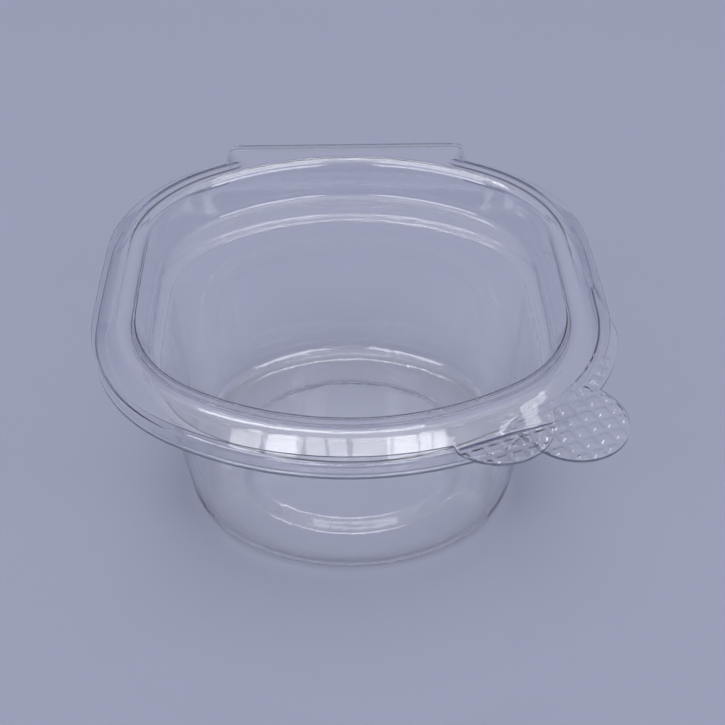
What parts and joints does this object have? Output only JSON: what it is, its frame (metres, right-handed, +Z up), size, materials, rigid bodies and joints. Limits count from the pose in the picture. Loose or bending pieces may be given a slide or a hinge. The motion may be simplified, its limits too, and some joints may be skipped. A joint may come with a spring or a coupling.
{
  "type": "hinged-lid sauce cup",
  "caption": "Small clear plastic pot with a lid hinged along its back edge, for a portion of sauce or dip. The lid folds open at finger tabs on the front right corner and plugs into the mouth.",
  "frame": {"origin": "middle of the base, on the surface that the cup stands on", "axes": "+Z up, +Y towards the fold at the back, +X to the right; the finger tabs are at the corner between +X and -Y"},
  "size_m": [0.0712, 0.07, 0.0363],
  "materials": {
    "clear_pet": "gloss"
  },
  "bodies": {
    "cup": {"cup": "clear_pet"},
    "lid": {"lid": "clear_pet"}
  },
  "joints": [
    {"name": "fold", "type": "hinge", "parent": "cup", "child": "lid", "pos_m": [0, 0.034, 0.03575], "axis": [-1, 0, 0], "range_deg": [0, 180]}
  ]
}
